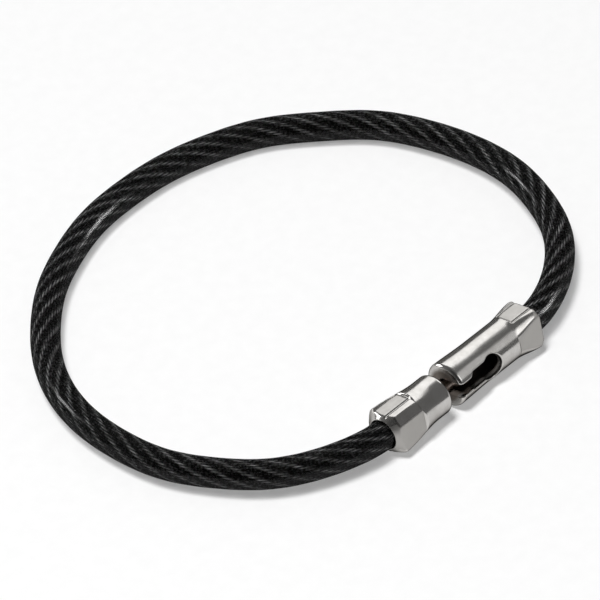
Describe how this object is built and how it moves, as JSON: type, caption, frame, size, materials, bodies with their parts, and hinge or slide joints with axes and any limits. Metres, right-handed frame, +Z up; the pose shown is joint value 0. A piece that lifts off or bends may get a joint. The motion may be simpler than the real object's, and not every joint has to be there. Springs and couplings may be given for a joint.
{
  "type": "cable wrist strap",
  "caption": "Closed wrist loop of plastic-coated wire rope whose crimped metal ends join in a ball and keyhole clasp.",
  "frame": {"origin": "below the middle of the clasp, on the surface that the loop lies on", "axes": "+X along the clasp from the plug half to the socket half, +Y from the clasp across the loop, +Z up"},
  "size_m": [0.0775, 0.0622, 0.0064],
  "materials": {
    "clasp_plating": "nickel plating, polished, lightly scuffed",
    "stud_steel": "worn nickel plating",
    "jacket_plastic": "smoked translucent plastic, glossy",
    "rope_wire": "blackened wire"
  },
  "bodies": {
    "loop": {"socket_sleeve": "clasp_plating", "cable_jacket": "jacket_plastic", "outer_strands": "rope_wire", "core_strand": "rope_wire"},
    "stud": {"ball_stud": "stud_steel"},
    "plug": {"plug_ferrule": "clasp_plating"}
  },
  "joints": [
    {"name": "plug_swing", "type": "hinge", "parent": "loop", "child": "stud", "pos_m": [0.00043, 0, 0.00323], "axis": [0, 0.2419, 0.9703], "range_deg": [0, 90], "stiffness_Nm_per_rad": 0.004, "deforming": ["cable_jacket", "outer_strands", "core_strand"]},
    {"name": "plug_turn", "type": "hinge", "parent": "stud", "child": "plug", "pos_m": [-0.00452, 0, 0.00323], "axis": [1, 0, 0], "range_deg": [-90, 90], "stiffness_Nm_per_rad": 0.0004}
  ]
}
